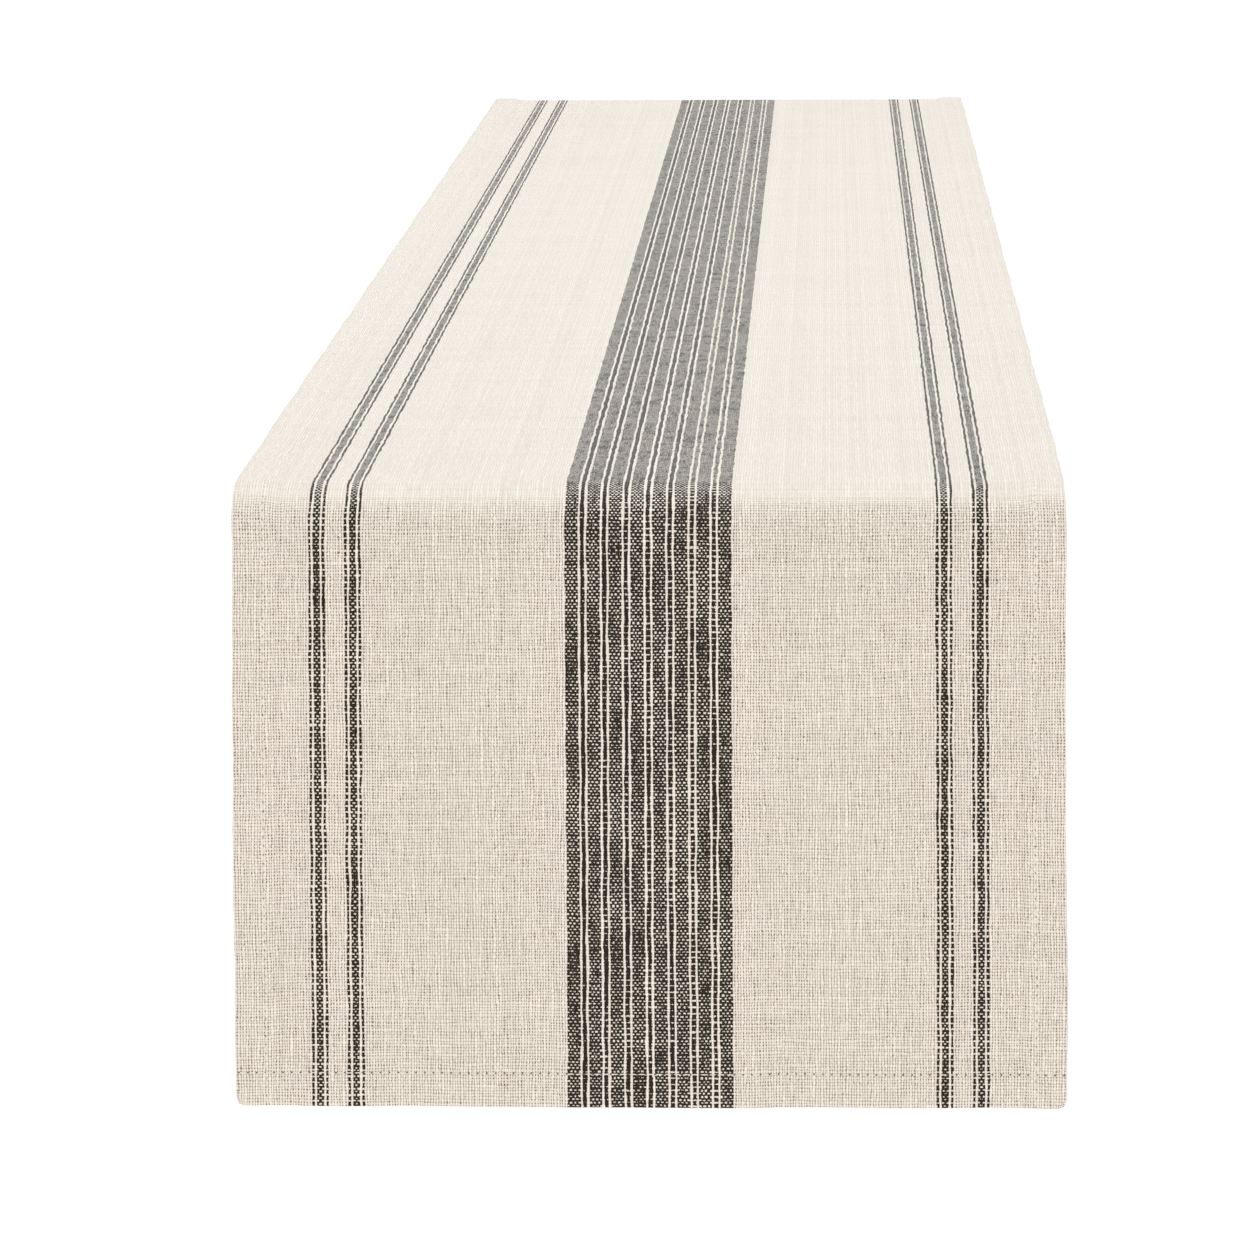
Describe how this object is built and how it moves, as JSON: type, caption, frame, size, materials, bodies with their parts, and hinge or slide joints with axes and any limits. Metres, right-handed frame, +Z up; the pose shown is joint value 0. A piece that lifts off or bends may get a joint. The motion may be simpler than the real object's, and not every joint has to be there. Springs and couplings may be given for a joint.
{
  "type": "table runner",
  "caption": "Long striped plain-woven cotton runner with double-turned hems, laid over a table with both ends hanging down over its edges.",
  "frame": {"origin": "on the tabletop's surface, under the middle of the runner", "axes": "+Z up out of the tabletop, +Y along the runner towards its far end, +X across it to the right"},
  "size_m": [0.356, 2.231, 0.2712],
  "materials": {
    "natural_cotton": "undyed plain weave, matt",
    "charcoal_yarn": "yarn-dyed plain weave, matt",
    "sewing_thread": "spun cotton thread"
  },
  "bodies": {
    "top": {"top_panel": "natural_cotton", "near_bend_panel": "natural_cotton", "far_bend_panel": "natural_cotton", "top_left_hem": "natural_cotton", "top_right_hem": "natural_cotton", "top_left_outer_stripe": "charcoal_yarn", "top_left_inner_stripe": "charcoal_yarn", "top_centre_stripe_1": "charcoal_yarn", "top_centre_stripe_2": "charcoal_yarn", "top_centre_stripe_3": "charcoal_yarn", "top_centre_stripe_4": "charcoal_yarn", "top_centre_stripe_5": "charcoal_yarn", "top_centre_stripe_6": "charcoal_yarn", "top_centre_stripe_7": "charcoal_yarn", "top_centre_stripe_8": "charcoal_yarn", "top_right_inner_stripe": "charcoal_yarn", "top_right_outer_stripe": "charcoal_yarn", "top_left_hem_thread": "sewing_thread", "top_right_hem_thread": "sewing_thread"},
    "near_drop": {"near_drop_panel": "natural_cotton", "near_drop_left_hem": "natural_cotton", "near_drop_right_hem": "natural_cotton", "near_drop_end_hem": "natural_cotton", "near_drop_left_outer_stripe": "charcoal_yarn", "near_drop_left_inner_stripe": "charcoal_yarn", "near_drop_centre_stripe_1": "charcoal_yarn", "near_drop_centre_stripe_2": "charcoal_yarn", "near_drop_centre_stripe_3": "charcoal_yarn", "near_drop_centre_stripe_4": "charcoal_yarn", "near_drop_centre_stripe_5": "charcoal_yarn", "near_drop_centre_stripe_6": "charcoal_yarn", "near_drop_centre_stripe_7": "charcoal_yarn", "near_drop_centre_stripe_8": "charcoal_yarn", "near_drop_right_inner_stripe": "charcoal_yarn", "near_drop_right_outer_stripe": "charcoal_yarn", "near_drop_left_hem_thread": "sewing_thread", "near_drop_right_hem_thread": "sewing_thread", "near_drop_end_hem_thread": "sewing_thread"},
    "far_drop": {"far_drop_panel": "natural_cotton", "far_drop_left_hem": "natural_cotton", "far_drop_right_hem": "natural_cotton", "far_drop_end_hem": "natural_cotton", "far_drop_left_outer_stripe": "charcoal_yarn", "far_drop_left_inner_stripe": "charcoal_yarn", "far_drop_centre_stripe_1": "charcoal_yarn", "far_drop_centre_stripe_2": "charcoal_yarn", "far_drop_centre_stripe_3": "charcoal_yarn", "far_drop_centre_stripe_4": "charcoal_yarn", "far_drop_centre_stripe_5": "charcoal_yarn", "far_drop_centre_stripe_6": "charcoal_yarn", "far_drop_centre_stripe_7": "charcoal_yarn", "far_drop_centre_stripe_8": "charcoal_yarn", "far_drop_right_inner_stripe": "charcoal_yarn", "far_drop_right_outer_stripe": "charcoal_yarn", "far_drop_left_hem_thread": "sewing_thread", "far_drop_right_hem_thread": "sewing_thread", "far_drop_end_hem_thread": "sewing_thread"}
  },
  "joints": [
    {"name": "near_drop_swing", "type": "hinge", "parent": "top", "child": "near_drop", "pos_m": [0, -1.10788, -0.00438], "axis": [-1, 0, 0], "range_deg": [0, 90]},
    {"name": "far_drop_swing", "type": "hinge", "parent": "top", "child": "far_drop", "pos_m": [0, 1.10788, -0.00438], "axis": [1, 0, 0], "range_deg": [0, 90]}
  ]
}
